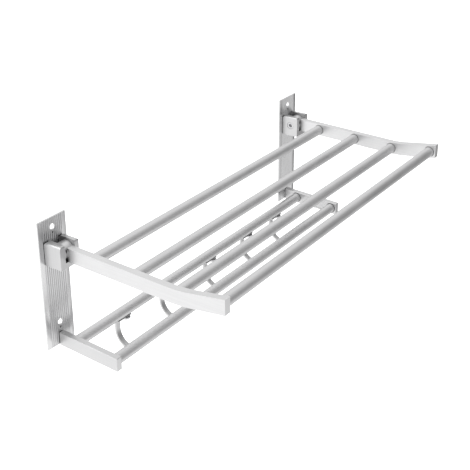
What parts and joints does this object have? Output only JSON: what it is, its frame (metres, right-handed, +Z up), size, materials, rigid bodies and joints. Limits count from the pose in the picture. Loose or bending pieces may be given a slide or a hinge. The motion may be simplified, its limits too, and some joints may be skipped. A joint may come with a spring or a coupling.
{
  "type": "wall mounted fold down drying rack",
  "caption": "Wall mounted aluminium rack with a fold up shelf of round tubes on curved arms, fluted wall plates, a fixed lower rail and sliding J hooks.",
  "frame": {"origin": "on the wall plane, midway between the two wall plates, at the height of the shelf's hinge axis", "axes": "+X along the tubes, +Y into the wall so that the rack stands out towards -Y, +Z up"},
  "size_m": [0.6, 0.2695, 0.222],
  "materials": {
    "satin_aluminium": "satin",
    "bright_steel": "bright",
    "grey_nylon": "matte"
  },
  "bodies": {
    "wall_frame": {"wall_plate_left": "satin_aluminium", "hinge_block_left": "satin_aluminium", "pivot_bolt_left": "bright_steel", "rail_arm_left": "satin_aluminium", "wall_plate_right": "satin_aluminium", "hinge_block_right": "satin_aluminium", "pivot_bolt_right": "bright_steel", "rail_arm_right": "satin_aluminium", "rail_tube_rear": "satin_aluminium", "rail_tube_front": "satin_aluminium"},
    "shelf": {"knuckle_left": "satin_aluminium", "shelf_arm_left": "satin_aluminium", "knuckle_right": "satin_aluminium", "shelf_arm_right": "satin_aluminium", "shelf_tube_1": "satin_aluminium", "shelf_tube_2": "satin_aluminium", "shelf_tube_3": "satin_aluminium", "shelf_tube_4": "satin_aluminium"},
    "hook_1_set": {"hook_1": "satin_aluminium", "hook_runner_1": "grey_nylon", "hook_screw_1": "bright_steel"},
    "hook_2_set": {"hook_2": "satin_aluminium", "hook_runner_2": "grey_nylon", "hook_screw_2": "bright_steel"},
    "hook_3_set": {"hook_3": "satin_aluminium", "hook_runner_3": "grey_nylon", "hook_screw_3": "bright_steel"},
    "hook_4_set": {"hook_4": "satin_aluminium", "hook_runner_4": "grey_nylon", "hook_screw_4": "bright_steel"},
    "hook_5_set": {"hook_5": "satin_aluminium", "hook_runner_5": "grey_nylon", "hook_screw_5": "bright_steel"}
  },
  "joints": [
    {"name": "shelf_fold", "type": "hinge", "parent": "wall_frame", "child": "shelf", "pos_m": [0, -0.018, 0], "axis": [-1, 0, 0], "range_deg": [0, 90]},
    {"name": "hook_1_slide", "type": "slide", "parent": "wall_frame", "child": "hook_1_set", "axis": [1, 0, 0], "range_m": [-0.068, 0.032]},
    {"name": "hook_2_slide", "type": "slide", "parent": "wall_frame", "child": "hook_2_set", "axis": [1, 0, 0], "range_m": [-0.032, 0.037]},
    {"name": "hook_3_slide", "type": "slide", "parent": "wall_frame", "child": "hook_3_set", "axis": [1, 0, 0], "range_m": [-0.037, 0.034]},
    {"name": "hook_4_slide", "type": "slide", "parent": "wall_frame", "child": "hook_4_set", "axis": [1, 0, 0], "range_m": [-0.034, 0.026]},
    {"name": "hook_5_slide", "type": "slide", "parent": "wall_frame", "child": "hook_5_set", "axis": [1, 0, 0], "range_m": [-0.026, 0.049]}
  ]
}
